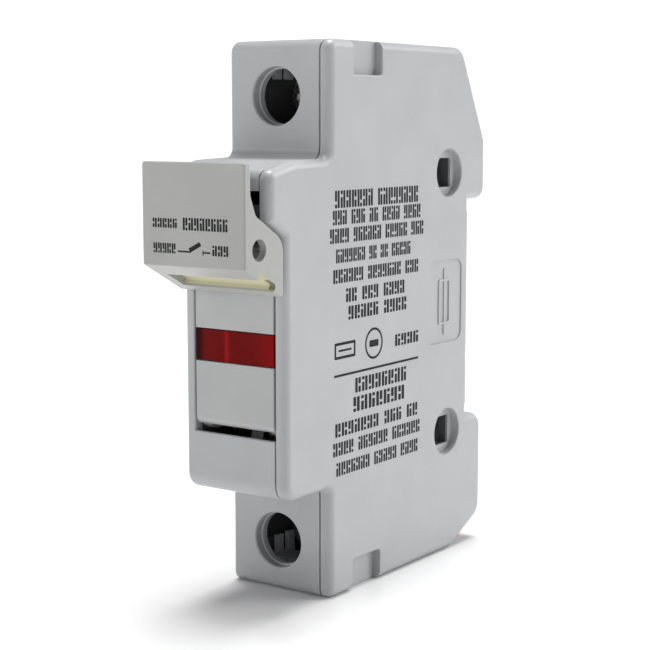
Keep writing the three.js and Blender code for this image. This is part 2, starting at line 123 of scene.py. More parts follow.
LEVER_FRONT = span("lever_handle", "y")[0]
LEVER_REAR = span("lever_handle", "y")[1]
LEVER_HIGH = span("lever_handle", "z")[1]
LEVER_BACK = LEVER_FRONT + 1.3
LEVER_LOW = 49.75
CHEEK = 1.1

TERMINAL_X = -0.6  # the screws' axes
TERMINAL_Z = {"upper": 72.85, "lower": 7.5}
ACCESS_RADIUS = 4.15
BAR_MID = 29.8  # the contact's bar inside the terminal cage
BAR_THICK = 1.2

CLIP_Y = 43.2  # ganging recesses in the sides, near the rail
CLIP_Z = (19.7, 61.2)
CLIP_RADIUS = 3.76
CLIP_DEPTH = 1.3
NOTCH_Y = (16.4, 23.8)  # notches in the ends of the sides
NOTCH_ENDS = (4.7, HEIGHT - 4.9)
LATCH_X = span("rail_latch", "x")
SPRING_Y = CLIP_Y + 0.2


# ---- drawings
def outline(corners, steps=6):
    """A closed drawing from corners (a, b) or (a, b, radius). It is a function of the inset."""
    points = [(Vector(c[:2]), c[2] if len(c) > 2 else 0.0) for c in corners]
    area = sum(p.cross(q) for (p, _), (q, _) in zip(points, points[1:] + points[:1]))
    if area < 0:
        points.reverse()

    def draw(inset):
        path = []
        for i, (at, radius) in enumerate(points):
            before = (at - points[i - 1][0]).normalized()
            after = (points[(i + 1) % len(points)][0] - at).normalized()
            inward = Vector((-before.y, before.x))
            mitre = inward + Vector((-after.y, after.x))
            corner = at + mitre * (inset / (1 + before.dot(after)))
            if not radius:
                path.append(corner)
                continue
            side = 1 if before.cross(after) > 0 else -1
            bend = math.acos(max(-1.0, min(1.0, before.dot(after))))
            radius = max(radius - side * inset, 0.03)
            start = corner - before * (radius * math.tan(bend / 2))
            centre = start + inward * (side * radius)
            spoke = start - centre
            for k in range(steps + 1):
                angle = side * bend * k / steps
                c, s = math.cos(angle), math.sin(angle)
                path.append(centre + Vector((c * spoke.x - s * spoke.y, s * spoke.x + c * spoke.y)))
        return path

    return draw


def rectangle(a, b, radius=0.0, steps=6):
    """A rectangle between the two values of a and the two values of b."""
    corners = [(a[0], b[0]), (a[1], b[0]), (a[1], b[1]), (a[0], b[1])]
    return outline([(*corner, radius) for corner in corners], steps)


def disc(a, b, radius, sides=48):
    def draw(inset):
        reach = radius - inset
        turns = (2 * math.pi * (k + 0.5) / sides for k in range(sides))
        return [Vector((a + reach * math.cos(t), b + reach * math.sin(t))) for t in turns]

    return draw


def strip(line, thickness, bend=0.0):
    """The edge of a bent sheet around a centre line; bend is the radius inside its bends."""
    points = [Vector(p) for p in line]
    left, right = [], []
    for i, point in enumerate(points):
        legs = []
        if i > 0:
            legs.append((point - points[i - 1]).normalized())
        if i < len(points) - 1:
            legs.append((points[i + 1] - point).normalized())
        normals = [Vector((-d.y, d.x)) for d in legs]
        mitre = (normals[0] + normals[-1]).normalized()
        mitre *= thickness / 2 / mitre.dot(normals[0])
        turn = legs[0].cross(legs[-1])
        radii = (0.0, 0.0)
        if bend and abs(turn) > 0.01:
            radii = (bend, bend + thickness) if turn > 0 else (bend + thickness, bend)
        left.append((*(point + mitre), radii[0]))
        right.insert(0, (*(point - mitre), radii[1]))
    return outline(left + right, steps=4)


# ---- solids
PLACES = {  # where a drawing's (a, b) and the position c along the axis go
    "x": lambda a, b, c: (c, a, b),
    "y": lambda a, b, c: (b, c, a),
    "z": lambda a, b, c: (a, b, c),
}


def as_object(bm):
    mesh = bpy.data.meshes.new("solid")
    bm.to_mesh(mesh)
    bm.free()
    obj = bpy.data.objects.new("solid", mesh)
    bpy.context.scene.collection.objects.link(obj)
    return obj


def skin(rings):
    """A closed solid over rings of points, each anticlockwise about the way they follow each other."""
    bm = bmesh.new()
    rows = [[bm.verts.new(point) for point in ring] for ring in rings]
    for lower, upper in zip(rows, rows[1:]):
        for i in range(len(lower)):
            j = (i + 1) % len(lower)
            bm.faces.new((lower[i], lower[j], upper[j], upper[i]))
    bm.faces.new(rows[0][::-1])
    bm.faces.new(rows[-1])
    return as_object(bm)


def loft(axis, drawing, stations):
    """The drawing at each (position, inset) along the axis, in rising order of position."""
    place = PLACES[axis]
    return skin([[place(a, b, c) for a, b in drawing(inset)] for c, inset in stations])


def quarter(steps):
    return [math.pi / 2 * k / steps for k in range(steps + 1)]


def rounded(start, end, start_radius, end_radius=None, steps=4):
    """Stations of a solid whose two rims are rounded."""
    end_radius = start_radius if end_radius is None else end_radius
    stations = []
    for t in quarter(steps) if start_radius else [math.pi / 2]:
        stations.append((start + start_radius * (1 - math.cos(t)), start_radius * (1 - math.sin(t))))
    for t in reversed(quarter(steps) if end_radius else [math.pi / 2]):
        stations.append((end - end_radius * (1 - math.cos(t)), end_radius * (1 - math.sin(t))))
    return stations


def mouth(deep, face, flare, steps=3):
    """Stations of a cutter that leaves through a face and rounds the rim of the hole it makes."""
    out = 1 if face > deep else -1
    rim = face + out * 0.002
    stations = [(deep, 0.0), (rim + out, -flare)]
    for t in quarter(steps):
        stations.append((rim - out * flare * (1 - math.sin(t)), -flare * (1 - math.cos(t))))
    return sorted(stations)


def prism(axis, drawing, start, end, edge=0.0):
    """The drawing swept straight along the axis, with both rims rounded by edge."""
    return loft(axis, drawing, rounded(start, end, edge, steps=3))


def block(x, y, z, edge=0.0, corner=0.0):
    """A box between pairs of coordinates; edge rounds its two X faces and corner the other four edges."""
    return prism("x", rectangle(y, z, corner, steps=4), *x, edge)


def turned(axis, a, b, profile, sides=48):
    """A body of revolution: profile lists (position, radius) in rising order of position."""
    return loft(axis, disc(a, b, 0.0, sides), [(position, -radius) for position, radius in profile])


def chamfered(low, high, radius, chamfer):
    """The profile of a cylinder with a chamfer at both ends."""
    return [
        (low, radius - chamfer), (low + chamfer, radius), (high - chamfer, radius), (high, radius - chamfer),
    ]


def combine(base, operation, tools):
    for tool in tools:
        modifier = base.modifiers.new("combine", "BOOLEAN")
        modifier.operation = operation
        modifier.solver = "EXACT"
        modifier.object = tool
    bpy.context.view_layer.update()
    depsgraph = bpy.context.evaluated_depsgraph_get()
    mesh = bpy.data.meshes.new_from_object(base.evaluated_get(depsgraph))
    base.modifiers.clear()
    base.data = mesh
    for tool in tools:
        bpy.data.objects.remove(tool)
    return base


def join(base, *tools):
    return combine(base, "UNION", tools)


def cut(base, *tools):
    return combine(base, "DIFFERENCE", tools)


def merged(*solids):
    """Several solids that don't touch, as one object."""
    bm = bmesh.new()
    for obj in solids:
        bm.from_mesh(obj.data)
        bpy.data.objects.remove(obj)
    return as_object(bm)


SAME_POINT = 1e-4
SHARP_ANGLE = math.radians(32)


def settle(obj, name, body, slot, material, *nodes):
    """Cleans a finished solid, moves it into the row frame and hangs it on its body."""
    bm = bmesh.new()
    bm.from_mesh(obj.data)
    bmesh.ops.remove_doubles(bm, verts=bm.verts, dist=SAME_POINT)
    bmesh.ops.dissolve_degenerate(bm, edges=bm.edges, dist=SAME_POINT)
    for vert in bm.verts:
        vert.co = vert.co * MM + ORIGIN
    bm.to_mesh(obj.data)
    bm.free()
    obj.name = name
    obj.data.name = name
    obj.data.materials.clear()
    obj.data.materials.append(material)
    obj.data.shade_smooth()
    obj.data.set_sharp_from_angle(angle=SHARP_ANGLE)
    weighted = obj.modifiers.new("normals", "WEIGHTED_NORMAL")
    weighted.keep_sharp = True
    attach(obj, body)
    if nodes:
        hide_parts(*nodes)
    return obj


# ---- materials
NOISE_LOW = 0.3  # nearly all values of a noise texture lie between these two
NOISE_HIGH = 0.7


class Shader:
    """A small helper around a material's node tree."""

    def __init__(self, name):
        self.material = bpy.data.materials.new(name)
        self.material.use_nodes = True
        self.tree = self.material.node_tree
        self.body = self.tree.nodes["Principled BSDF"]
        self.place = self.tree.nodes.new("ShaderNodeTexCoord").outputs["Object"]

    def feed(self, socket, value):
        """Links a socket to another one, or gives it a value."""
        if isinstance(value, bpy.types.NodeSocket):
            self.tree.links.new(value, socket)
        else:
            socket.default_value = value

    def node(self, kind, settings=None, **inputs):
        made = self.tree.nodes.new(kind)
        for key, value in (settings or {}).items():
            setattr(made, key, value)
        for key, value in inputs.items():
            self.feed(made.inputs[key.replace("_", " ")], value)
        return made

    def noise(self, size_mm, detail=2.0, stretch=None):
        """Noise whose features are about size_mm across; stretch scales the axes first."""
        where = self.place
        if stretch:
            where = self.node("ShaderNodeMapping", Vector=where, Scale=stretch).outputs["Vector"]
        return self.node(
            "ShaderNodeTexNoise", Vector=where, Scale=1 / (size_mm * MM), Detail=detail
        ).outputs["Fac"]

    def ramp(self, fac, low, high):
        """A colour that goes from low to high over the usual range of noise."""
        made = self.node("ShaderNodeValToRGB", Fac=fac)
        first, last = made.color_ramp.elements
        first.position, first.color = NOISE_LOW, (*low, 1)
        last.position, last.color = NOISE_HIGH, (*high, 1)
        return made.outputs["Color"]

    def spread(self, fac, low, high):
        """A number that goes from low to high over the usual range of noise."""
        return self.node(
            "ShaderNodeMapRange",
            Value=fac, From_Min=NOISE_LOW, From_Max=NOISE_HIGH, To_Min=low, To_Max=high,
        ).outputs["Result"]

    def math(self, operation, first, second, third=0.0):
        made = self.node("ShaderNodeMath", {"operation": operation})
        for socket, value in zip(made.inputs, (first, second, third)):
            self.feed(socket, value)
        return made.outputs[0]

    def inside(self, **limits):
        """1 inside a box given in millimetres of the housing frame, 0 outside."""
        axes = self.node("ShaderNodeSeparateXYZ", Vector=self.place).outputs
        product = 1.0
        for axis, (low, high) in limits.items():
            middle = (low + high) / 2 * MM + ORIGIN["xyz".index(axis)]
            test = self.math("COMPARE", axes[axis.upper()], middle, (high - low) / 2 * MM)
            product = self.math("MULTIPLY", test, product)
        return product

    def mixed(self, factor, first, second):
        """The first colour where factor is 0 and the second where it is 1."""
        made = self.node("ShaderNodeMix", {"data_type": "RGBA"})
        self.tree.links.new(factor, made.inputs["Factor"])
        self.tree.links.new(first, made.inputs[6])
        made.inputs[7].default_value = (*second, 1)
        return made.outputs[2]

    def bump(self, height, strength, distance_mm, under=None):
        """A normal roughened by height, on top of another such normal if there is one."""
        made = self.node("ShaderNodeBump", Height=height, Strength=strength, Distance=distance_mm * MM)
        if under is not None:
            self.tree.links.new(under, made.inputs["Normal"])
        return made.outputs["Normal"]

    def set(self, **inputs):
        """Fills inputs of the Principled shader and gives back the finished material."""
        for key, value in inputs.items():
            self.feed(self.body.inputs[key.replace("_", " ")], value)
        return self.material


def shade(color, factor):
    return tuple(min(1.0, c * factor) for c in color)


def moulded(name, color, roughness, *regions):
    """Injection-moulded plastic: faint cloudiness, spark-eroded grain and slow flow waves.

    Each region is (limits, color) and gives the plastic another colour inside a box; the regions paint
    shade, except the cream of the finger groove.
    """
    s = Shader(name)
    base = s.ramp(s.noise(9.0, detail=3.0), shade(color, 0.965), shade(color, 1.03))
    for limits, other in regions:
        base = s.mixed(s.inside(**limits), base, other)
    rough = s.spread(s.noise(1.4, detail=4.0), roughness - 0.05, roughness + 0.05)
    waves = s.bump(s.noise(7.0, detail=1.0), 0.25, 0.05)
    return s.set(
        Base_Color=base, Roughness=rough, IOR=1.5, Specular_IOR_Level=0.5,
        Normal=s.bump(s.noise(0.12, detail=3.0), 0.35, 0.012, waves),
    )


def plated(name, color, roughness, brushed=(1, 1, 1)):
    """Plated or rolled metal: fine directional scratches and slightly uneven brightness."""
    s = Shader(name)
    tone = s.ramp(s.noise(2.5, detail=4.0), shade(color, 0.86), shade(color, 1.06))
    scratches = s.noise(0.25, detail=4.0, stretch=brushed)
    rough = s.spread(scratches, roughness - 0.07, roughness + 0.1)
    return s.set(Base_Color=tone, Metallic=1.0, Roughness=rough, Normal=s.bump(scratches, 0.3, 0.01))


def red_lens():
    """Red plastic before a dark recess, with painted light across it: painted shade at its left end, then a
    painted highlight line, and painted light brighter at right.
    """
    s = Shader("red_lens")
    across = s.node("ShaderNodeSeparateXYZ", Vector=s.place).outputs["X"]
    left, right = CARRIER_X
    along = s.node(
        "ShaderNodeMapRange", Value=across, From_Min=left * MM, From_Max=right * MM
    ).outputs["Result"]
    ramp = s.node("ShaderNodeValToRGB", Fac=along)
    bands = ramp.color_ramp
    # Painted light: the first stops are painted shade at the left end, the stop at 0.4 is a painted
    # highlight line and the last stop is painted light at the right end.
    dark = (0.03, 0.003, 0.003)
    deep = (0.13, 0.004, 0.004)
    highlight_line = (0.3, 0.006, 0.008)
    bright = (0.2, 0.004, 0.004)
    stops = [
        (0.0, dark), (0.06, dark), (0.12, deep), (0.36, deep),
        (0.4, highlight_line), (0.45, deep), (0.72, deep), (1.0, bright),
    ]
    while len(bands.elements) < len(stops):
        bands.elements.new(0.5)
    for element, (position, color) in zip(bands.elements, stops):
        element.position, element.color = position, (*color, 1)
    ripple = s.bump(s.noise(2.0, detail=1.0), 0.15, 0.05)
    return s.set(
        Base_Color=ramp.outputs["Color"], Roughness=s.spread(s.noise(3.0), 0.12, 0.2), IOR=1.49,
        Specular_IOR_Level=0.03, Normal=ripple,
    )


def glass():
    s = Shader("lamp_glass")
    tint = s.ramp(s.noise(1.5), (0.93, 0.82, 0.76), (1.0, 0.93, 0.9))
    rough = s.spread(s.noise(0.8), 0.03, 0.1)
    return s.set(Base_Color=tint, Roughness=rough, IOR=1.5, Transmission_Weight=0.85)


def ceramic():
    """Matt off-white steatite."""
    s = Shader("ceramic")
    tone = s.ramp(s.noise(1.8, detail=5.0), (0.78, 0.75, 0.69), (0.88, 0.86, 0.81))
    grain = s.bump(s.noise(0.2, detail=4.0), 0.3, 0.015)
    return s.set(Base_Color=tone, Roughness=s.spread(s.noise(0.9), 0.42, 0.58), IOR=1.55, Normal=grain)


def lacquer(name, color):
    s = Shader(name)
    tone = s.ramp(s.noise(0.7, detail=3.0), shade(color, 0.85), shade(color, 1.1))
    return s.set(Base_Color=tone, Roughness=s.spread(s.noise(0.5), 0.25, 0.4), Coat_Weight=0.3)


def ink():
    """Black pad printing, nearly without gloss."""
    s = Shader("printing_ink")
    tone = s.ramp(s.noise(0.35, detail=4.0), (0.004, 0.004, 0.005), (0.012, 0.012, 0.014))
    return s.set(Base_Color=tone, Roughness=s.spread(s.noise(0.4), 0.4, 0.6), Specular_IOR_Level=0.15)


# Painted shade: UNLIT colours the housing plastic dark inside the terminal and fuse rooms, where little
# light reaches.
UNLIT = (0.1, 0.1, 0.105)
# Painted shade: the carrier's web behind the lever is coloured nearly black, for the shade it sits in.
WEB_PAINTED_SHADE = (0.02, 0.02, 0.022)
CREAM = (0.5, 0.485, 0.34)
# Painted shade: the end of the finger groove, towards its inner corner, is coloured dark olive.
GROOVE_END_SHADE = (0.17, 0.16, 0.08)
TERMINAL_ROOM = {"x": (-7.6, 7.3), "y": (13.2, 48), "z": (1.4, HEIGHT - 1.4)}
FUSE_ROOM = {"x": (-7.5, 7.3), "y": (1.6, 13.3), "z": (18.2, 62)}
CARRIER_TOP_WEB = {"x": (-6, 6), "y": (4.3, 10), "z": (52.2, 60)}
GROOVE_Z = (46.72, 49.45)
FINGER_GROOVE = {"x": (-6.98, 8.96), "y": (-6.2, -2.15), "z": GROOVE_Z}
GROOVE_END = {"x": (7.95, 8.96), "y": (-3.6, -2.15), "z": GROOVE_Z}
HOUSING = moulded("housing_grey", (0.385, 0.39, 0.4), 0.36, (TERMINAL_ROOM, UNLIT), (FUSE_ROOM, UNLIT))
CARRIER = moulded("carrier_grey", (0.38, 0.382, 0.385), 0.38, (CARRIER_TOP_WEB, WEB_PAINTED_SHADE))
LEVER = moulded("lever_grey", (0.34, 0.344, 0.335), 0.4, (FINGER_GROOVE, CREAM), (GROOVE_END, GROOVE_END_SHADE))
RED_PLASTIC = moulded("latch_red", (0.52, 0.03, 0.025), 0.38)
LENS = red_lens()
NICKEL = plated("nickel", (0.78, 0.77, 0.75), 0.22, (1, 0.15, 1))
COPPER = plated("silvered_copper", (0.83, 0.79, 0.7), 0.3, (1, 1, 0.15))
DULL_NICKEL = plated("dull_nickel", (0.2, 0.2, 0.2), 0.6)
PALE_ZINC = lacquer("pale_zinc", (0.9, 0.93, 0.97))
STEEL = plated("spring_steel", (0.5, 0.51, 0.53), 0.3, (0.2, 1, 1))
CERAMIC = ceramic()
LAMP_GLASS = glass()
LACQUER = lacquer("resistor_lacquer", (0.1, 0.28, 0.4))
BAND_BROWN = lacquer("resistor_band", (0.16, 0.06, 0.03))
INK_BLACK = ink()

# ---- case
PROFILE = outline([
    (SHOULDER_Y, 0, 1.3),
    (45.5, 0, 2),
    (FOOT_Y, 4.1, 3),
    (FOOT_Y, SLOT_LOW, 2.4),
    (SEAT_Y - RELIEF, SLOT_LOW),
    (SEAT_Y - RELIEF, SLOT_LOW + RELIEF_WIDTH),
    (SEAT_Y, SLOT_LOW + RELIEF_WIDTH),
    (SEAT_Y, SLOT_HIGH - RELIEF_WIDTH),
    (SEAT_Y - RELIEF, SLOT_HIGH - RELIEF_WIDTH),
    (SEAT_Y - RELIEF, SLOT_HIGH),
    (HOOK_Y, SLOT_HIGH, 1.8),
    (HOOK_Y, 66.2, 3),
    (47.4, HEIGHT, 2.6),
    (SHOULDER_Y, HEIGHT, 1.8),
    (SHOULDER_Y, FRONT_HIGH, 1.5),
    (2.2, FRONT_HIGH - 0.25, 5),  # its top falls a little more than the CAD's, up to 0.25 mm
    (BROW_Y, FRONT_HIGH - 1.5, 1.6),
    (BROW_Y, BROW_LOW, 0.5),
    (0, BROW_FOOT, 0.4),
    (0, FRONT_LOW, 2.5),
    (SHOULDER_Y, FRONT_LOW, 0.8),
])
INNER = 0.6  # fillets inside the hollow
HOLLOW = outline([
    (FRONT_WALL, 17.7, INNER),
    (SHOULDER_Y + WALL, 17.7, INNER),
    (SHOULDER_Y + WALL, WALL, INNER),
    (45, WALL, INNER),
    (FOOT_Y - WALL, 5.2, INNER),
    (FOOT_Y - WALL, SLOT_LOW - WALL, INNER),
    (SEAT_Y - WALL, SLOT_LOW - WALL, INNER),
    (SEAT_Y - WALL, SLOT_HIGH + WALL, INNER),
    (HOOK_Y - WALL, SLOT_HIGH + WALL, INNER),
    (HOOK_Y - WALL, 66, INNER),
    (46.4, HEIGHT - WALL, INNER),
    (SHOULDER_Y + WALL, HEIGHT - WALL, INNER),
    (SHOULDER_Y + WALL, 62.6, INNER),
    (2, 62.5, INNER),
    (BROW_Y + FRONT_WALL, 61.3, INNER),
    (BROW_Y + FRONT_WALL, 58),
    (FRONT_WALL, 58),
], steps=3)
PEGS = [(43.5, 72), (35, 40), (33, 20.5)]  # (y, z) of the pegs that hold the cover
PEG_SOCKET = 2.5
SPRING_PIN = [(1, 1.15), (3.2, 1.15), (3.4, 0.95)]  # (z, radius) of the pin inside the latch spring
RIB_END = 6.6
LEFT_EDGE = 0.6  # rounding of the left shell's outer edge
RIGHT_EDGE = 1.3  # and of the right cover's
SEAM_EDGE = 0.12  # broken edges on both sides of the parting line


WIRE_X = (-4.4, 3.2)
WIRE_Y = (29.6, 37)


def side_recesses(side, face):
    """Cutters for the two clip recesses and the two end notches of one side face."""
    floor = side * (HALF_WIDTH - CLIP_DEPTH)
    reach = sorted((side * 5.0, floor + side * 0.2))
    half = 2.3
    tools = []
    for z in CLIP_Z:
        tools.append(loft("x", disc(CLIP_Y, z, CLIP_RADIUS), mouth(floor, face, 0.22)))
        window = rectangle((CLIP_Y - half, CLIP_Y + half), (z - half, z + half), 0.15, steps=2)
        tools.append(prism("x", window, *reach))
    for z in ((-3, NOTCH_ENDS[0]), (NOTCH_ENDS[1], HEIGHT + 3)):
        tools.append(loft("x", rectangle(NOTCH_Y, z, 0.5, steps=4), mouth(floor, face, 0.25)))
    return tools


def pads(deep, shallow):
    """Thickenings behind the recesses, which keep the wall whole."""
    made = [prism("x", disc(CLIP_Y, z, 4.8), *deep) for z in CLIP_Z]
    made += [block(shallow, (15.6, 24.6), z) for z in ((2, 5.6), (74.8, 78.8))]
    return made


def wire_entry(z):
    """A cutter for the wire's hole in the end that is nearer to z."""
    drawing = rectangle(WIRE_X, WIRE_Y, 2.6, steps=6)
    if z > HEIGHT / 2:
        return loft("z", drawing, mouth(HEIGHT - 2.8, HEIGHT, 0.4))
    return loft("z", drawing, mouth(3, 0, 0.4))


def access_hole(z):
    """A stepped round hole with a rounded rim, drawn along Y."""
    flare = 0.3
    profile = [(SHOULDER_Y - 1, ACCESS_RADIUS + flare)]
    for t in reversed(quarter(4)):
        depth = flare * (1 - math.sin(t))
        profile.append((SHOULDER_Y - 0.002 + depth, ACCESS_RADIUS + flare * (1 - math.cos(t))))
    profile += [(12.0, ACCESS_RADIUS), (12.1, ACCESS_RADIUS - 0.2), (14, ACCESS_RADIUS - 0.2)]
    return turned("y", z, TERMINAL_X, profile, sides=56)


def case_left():
    """The left half with the front face, its ribs and every opening."""
    shell = loft("x", PROFILE, rounded(-HALF_WIDTH, PART_LEFT, LEFT_EDGE, SEAM_EDGE, steps=6))
    cut(shell, prism("x", HOLLOW, SHELL_INSIDE, PART_LEFT + 1))
    root = SHELL_INSIDE - 0.2
    inside = (root, RIB_END)
    bead = outline([(51.3, 57.2), (51.3, 55.9, 0.3), (52.5, 55.9, 0.4), (54.2, 57.2)], steps=4)
    ribs = [
        block(inside, (11.5, 28), (66.6, 67.8)),  # between upper terminal and fuse
        block(inside, (11.5, 28), (12.9, 14.1)),  # between lower terminal and fuse
        block(inside, (23.5, 24.7), (17.2, 63.4)),  # behind the fuse
        block(inside, (49.1, 50.1), (10.4, 20.4)),  # guides the latch
        block(inside, (40.6, 46), (8.9, 10)),  # stops the latch at the top of its travel
        block(inside, (39.4, 40.61), (1, 10)),  # between lower terminal and latch
        block(inside, (40.2, 41.4), (66, 80)),  # behind the upper terminal
        turned("z", FUSE_X, SPRING_Y, SPRING_PIN, sides=24),
        prism("x", bead, -6.6, 6.2),
        *pads((root, -5.9), (root, -7)),
        *[prism("x", disc(y, z, PEG_SOCKET, 32), *inside) for y, z in PEGS],
        *[turned("y", z, TERMINAL_X, [(11.5, 5.3), (13.1, 5.3)]) for z in TERMINAL_Z.values()],
    ]
    join(shell, *ribs)
    across = (SHELL_INSIDE, PART_LEFT + 2)
    front = rectangle((OPENING_LOW, BROW_FOOT - 0.4), across)
    front_of_brow = rectangle((BROW_FOOT - 1, OPENING_HIGH), across)
    heel_room = outline([(0.2, OPENING_LOW + 0.1), (1.7, OPENING_LOW + 0.1), (1.7, 24)])
    return cut(
        shell,
        loft("y", front, mouth(FRONT_WALL + 0.05, 0, 0.25)),
        loft("y", front_of_brow, mouth(FRONT_WALL + 0.06, BROW_Y, 0.18)),
        prism("x", heel_room, SHELL_INSIDE, PART_LEFT + 1),
        block((-5.2, 5), (50.9, 53), (15, 22)),  # the latch's nose comes out here
        block((-5.2, 5), (46.4, 53), (-1, 6)),  # and its foot here
        prism("x", disc(PIVOT_Y, PIVOT_Z, PIN_BORE, 32), -8.35, SHELL_INSIDE + 0.1),
        *[prism("x", disc(y, z, 1.45, 24), 2, RIB_END + 1) for y, z in PEGS],
        *side_recesses(-1, -HALF_WIDTH),
        *[access_hole(z) for z in TERMINAL_Z.values()],
        *[wire_entry(z) for z in TERMINAL_Z.values()],
    )


def case_right():
    """The thin right cover with its pegs, its moulded panel and the fuse symbol in it."""
    face = HALF_WIDTH - INK
    cover = loft("x", PROFILE, rounded(PART_RIGHT, face, SEAM_EDGE, RIGHT_EDGE, steps=6))
    join(
        cover,
        *pads((5.9, PART_RIGHT + 0.1), (6.75, PART_RIGHT + 0.1)),
        *[turned("x", y, z, [(3, 1.0), (3.2, 1.2), (PART_RIGHT + 0.1, 1.2)], sides=24) for y, z in PEGS],
    )
    panel = rectangle((36.9, 47.3), (34.3, 47.4), 1.6)
    cut(
        cover,
        prism("x", disc(PIVOT_Y, PIVOT_Z, PIN_BORE, 32), PART_RIGHT - 0.1, 8.2),
        loft("x", panel, mouth(face - 0.22, face, 0.1)),
        *side_recesses(1, face),
    )
    return join(cover, *fuse_emblem(face))


def fuse_emblem(face):
    """The circuit symbol of a fuse, an upright box with a line through it, raised in the panel."""
    y, z, half, tall, line = 42.1, 40.85, 1.7, 3.6, 0.35
    low = face - 0.32
    rim = rectangle((y - half, y + half), (z - tall, z + tall), 0.4)
    window = rectangle((y - half + line, y + half - line), (z - tall + line, z + tall - line), 0.2)
    frame_box = cut(prism("x", rim, low, face - 0.02, 0.06), prism("x", window, low - 1, face + 1))
    through = rectangle((y - line / 2, y + line / 2), (z - tall - 1.7, z + tall + 1.7), 0.15)
    return [frame_box, prism("x", through, low, face - 0.03, 0.05)]


settle(case_left(), "case_left_shell", "housing", "housing", HOUSING, "housing_left_shell")
settle(case_right(), "case_right_cover", "housing", "housing", HOUSING, "housing_right_cover")


# ---- printing
SIDE_INK = (HALF_WIDTH - 2 * INK, HALF_WIDTH)
LEVER_INK = (LEVER_FRONT, LEVER_FRONT + 2 * INK)
UPRIGHTS = ((0.06, 0.4), (0.52, 0.86))  # start and end of a character's two strokes, in character widths


def words(start, end, middle, height, counts, place, seed):
    """Greeked printing: a character is two plain uprights, one of them split at one of three heights."""
    advance = (end - start) / (sum(counts) + 0.8 * (len(counts) - 1))
    slit = height * 0.16
    low, high = middle - height / 2, middle + height / 2
    made = []
    at = start
    for w, count in enumerate(counts):
        for k in range(count):
            pick = noise.cell(Vector((seed, w * 3.7, k * 1.3))) * 1.5 + 1.5
            split = middle + (int(pick) - 1) * height * 0.2
            strokes = [(at + advance * near, at + advance * far) for near, far in UPRIGHTS]
            if pick % 1 > 0.5:
                strokes.reverse()
            made.append(place(strokes[0], (low, high)))
            made.append(place(strokes[1], (low, split - slit / 2)))
            made.append(place(strokes[1], (split + slit / 2, high)))
            at += advance
        at += advance * 0.8
    return made


def rows(table, place, seed):
    marks = []
    for row, (middle, height, start, end, counts) in enumerate(table):
        marks += words(start, end, middle, height, counts, place, seed + row)
    return marks


def side_mark(y, z, corner=0.12):
    """A printed bar on the right side."""
    return prism("x", rectangle(y, z, corner, steps=2), *SIDE_INK)


SIDE_ROWS = [  # (middle, character height, start, end, characters in each word)
    (58.3, 2.5, 11.6, 34.0, (7, 8)),
    (55.7, 2.1, 11.1, 34.7, (3, 3, 2, 4, 4)),
    (53.1, 2.1, 10.4, 35.6, (4, 6, 5, 3)),
    (50.2, 2.0, 11.9, 31.9, (7, 2, 2, 5)),
    (47.3, 2.0, 11.2, 34.2, (6, 7, 3)),
    (44.4, 2.0, 14.4, 30.3, (2, 3, 4)),
    (41.8, 2.0, 15.0, 30.9, (5, 4)),
    (36.3, 1.8, 27.5, 34.4, (4,)),
    (30.9, 2.2, 16.8, 31.0, (8,)),
    (28.1, 2.2, 16.3, 30.5, (7,)),
    (24.9, 2.0, 11.7, 34.3, (7, 3, 2)),
    (22.1, 2.0, 11.2, 35.0, (4, 6, 6)),
    (19.1, 2.0, 12.0, 34.4, (7, 5, 4)),
]
LEVER_ROWS = [
    (55.6, 1.3, -7.1, -2.6, (5,)),
    (55.6, 1.7, -1.7, 6.2, (8,)),
    (52.2, 1.4, -7.0, -2.9, (5,)),
    (52.2, 1.4, 3.4, 6.3, (3,)),
]


def ring_print(outer, inner):
    """A printed line between two drawings on the right side."""
    return cut(prism("x", outer, *SIDE_INK), prism("x", inner, SIDE_INK[0] - 1, SIDE_INK[1] + 1))


def side_print():
    """Rows, a rule, a ring with a bar in it and a box with a line in it."""
    marks = rows(SIDE_ROWS, side_mark, 0.5)
    marks.append(side_mark((11.5, 34.2), (32.72, 33.06), 0.05))
    marks.append(ring_print(disc(21.8, 36.6, 2.35, 40), disc(21.8, 36.6, 2.0, 40)))
    marks.append(side_mark((20.6, 23.0), (36.1, 37.1), 0.1))
    box = rectangle((11.6, 16.9), (35.3, 37.7), 0.2)
    marks.append(ring_print(box, rectangle((12.0, 16.5), (35.7, 37.3), 0.1)))
    marks.append(side_mark((12.6, 15.9), (36.35, 36.65), 0.05))
    return merged(*marks)


def lever_mark(x, z, corner=0.1):
    """A printed bar on the lever's front."""
    return prism("y", rectangle(z, x, corner, steps=2), *LEVER_INK)


def lever_print():
    """Two rows, the lower one with a switch symbol between its words."""
    marks = rows(LEVER_ROWS, lever_mark, 20.5)
    conductor = (51.75, 51.75 + 0.22)
    marks.append(lever_mark((-2.6, -0.3), conductor, 0.03))
    blade = outline([(51.8, -0.35), (52.75, 1.55), (53.25, 1.2), (52.3, -0.7)])
    marks.append(prism("y", blade, *LEVER_INK))
    marks.append(lever_mark((1.75, 1.95), (51.5, 52.1), 0.03))
    marks.append(lever_mark((2.0, 3.1), conductor, 0.03))
    return merged(*marks)


settle(side_print(), "side_printing", "housing", "housing", INK_BLACK)
settle(lever_print(), "lever_printing", "carrier", "lever_plastic", INK_BLACK)


